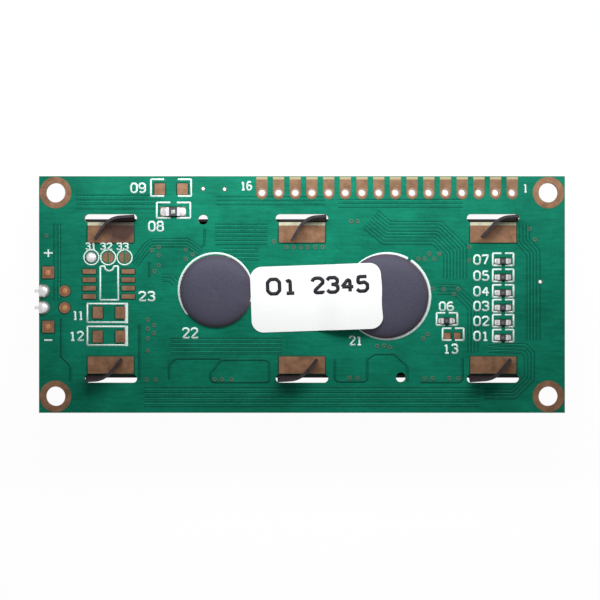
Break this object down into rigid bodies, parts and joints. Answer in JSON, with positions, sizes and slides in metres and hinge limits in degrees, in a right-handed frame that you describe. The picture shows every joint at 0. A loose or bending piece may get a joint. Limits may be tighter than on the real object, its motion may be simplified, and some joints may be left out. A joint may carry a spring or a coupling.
{
  "type": "character lcd module",
  "caption": "Character display module with a green circuit board, a black steel bezel hooked through it, epoxy chip covers and a row of plated connector holes.",
  "frame": {"origin": "middle of the four mounting holes, on the circuit board's front face, where the bezel stands", "axes": "+X along the long side, to the right when the back is seen with the connector holes at the top; +Y towards the connector holes; +Z out of the board's back, away from the display"},
  "size_m": [0.0806, 0.036, 0.0106],
  "materials": {
    "board": "satin green solder mask over glass fibre",
    "copper": "bare copper, dulled to brown",
    "solder": "bright, smooth",
    "black_steel": "semi-gloss black",
    "polariser": "smooth film",
    "display_glass": "polished",
    "clear_glue": "glossy",
    "white_film": "matte",
    "light_guide": "polished clear acrylic",
    "white_plastic": "matte white",
    "lamp": "milky",
    "tinned_metal": "bright tin",
    "contact_rubber": "matte",
    "epoxy": "matte, dark violet grey",
    "white_paper": "smooth coated paper",
    "resistor": "black glaze on top, metal caps"
  },
  "bodies": {
    "root": {"circuit_board": "board", "mounting_hole_rings": "copper", "connector_hole_pads": "copper", "hook_pads": "copper", "bare_component_pads": "copper", "backlight_pads": "copper", "soldered_pads": "solder", "resistor_solder": "solder", "jumper_solder": "solder", "backlight_lead_solder": "solder", "bezel": "black_steel", "front_polariser": "polariser", "rear_polariser": "polariser", "front_glass": "display_glass", "rear_glass": "display_glass", "fill_port_plug": "clear_glue", "diffuser_film": "white_film", "reflector_film": "white_film", "light_guide": "light_guide", "backlight_frame": "white_plastic", "backlight_lamp": "lamp", "backlight_lead_upper": "tinned_metal", "backlight_lead_lower": "tinned_metal", "contact_strip_upper": "contact_rubber", "contact_strip_lower": "contact_rubber", "chip_cover_large": "epoxy", "chip_cover_small": "epoxy", "sticker": "white_paper", "chip_resistor_1": "resistor", "chip_resistor_2": "resistor", "chip_resistor_3": "resistor", "chip_resistor_4": "resistor", "chip_resistor_5": "resistor", "chip_resistor_6": "resistor", "chip_resistor_7": "resistor", "chip_resistor_large": "resistor"}
  },
  "joints": []
}
